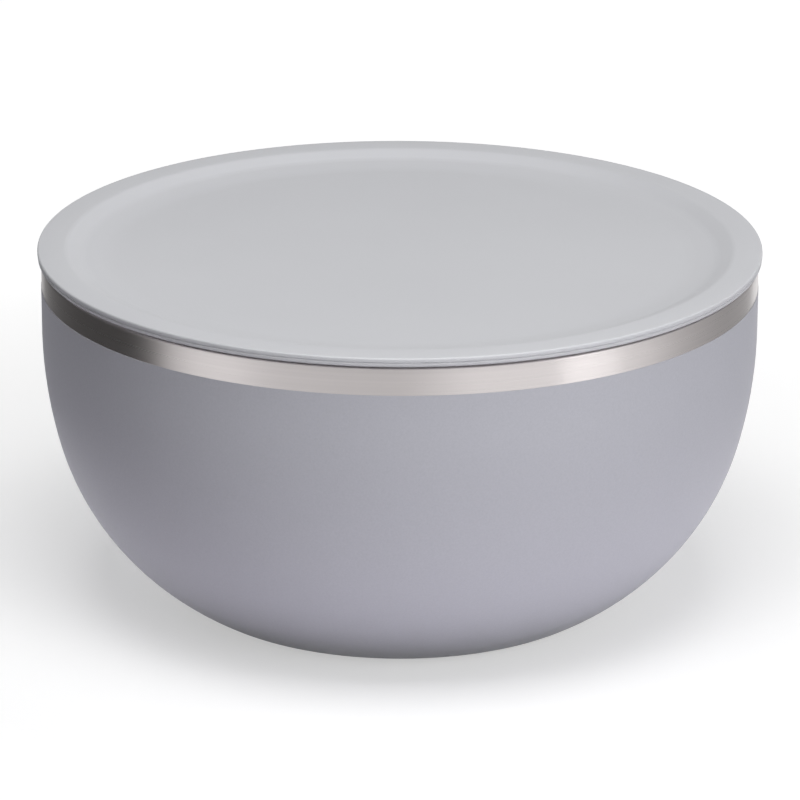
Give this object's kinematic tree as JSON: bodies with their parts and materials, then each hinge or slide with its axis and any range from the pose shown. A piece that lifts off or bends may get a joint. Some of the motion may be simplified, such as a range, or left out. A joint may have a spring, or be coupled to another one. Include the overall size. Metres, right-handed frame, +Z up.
{
  "type": "insulated serving bowl with lid",
  "caption": "Round double-wall steel serving bowl with a bare brushed band under the lip, a matte coated outside and a flat lift-off lid with a sunk panel and a soft seal.",
  "frame": {"origin": "on the bowl's axis, in the plane of the foot ring's underside that the bowl stands on", "axes": "+Z up along the bowl's axis; the bowl is round, so X and Y are any two level directions, with the picture taken from the -Y side"},
  "size_m": [0.28, 0.28, 0.143],
  "materials": {
    "shell_steel": "satin",
    "liner_steel": "satin",
    "disc_steel": "satin",
    "coat": "matte",
    "seal_glass": "gloss",
    "getter_steel": "satin",
    "getter_alloy": "matte",
    "foot_rubber": "matte",
    "lid_plastic": "matte",
    "lid_base_plastic": "matte",
    "gasket_rubber": "satin"
  },
  "bodies": {
    "bowl": {"outer_shell": "shell_steel", "inner_liner": "liner_steel", "powder_coat": "coat", "base_disc": "disc_steel", "vacuum_plug": "seal_glass", "getter_cup": "getter_steel", "getter_pellet": "getter_alloy", "foot_ring": "foot_rubber"},
    "lid": {"lid_top": "lid_plastic", "lid_base": "lid_base_plastic", "lid_gasket": "gasket_rubber"}
  },
  "joints": [
    {"name": "lid_lift", "type": "slide", "parent": "bowl", "child": "lid", "axis": [0, 0, 1], "range_m": [0, 0.15]}
  ]
}
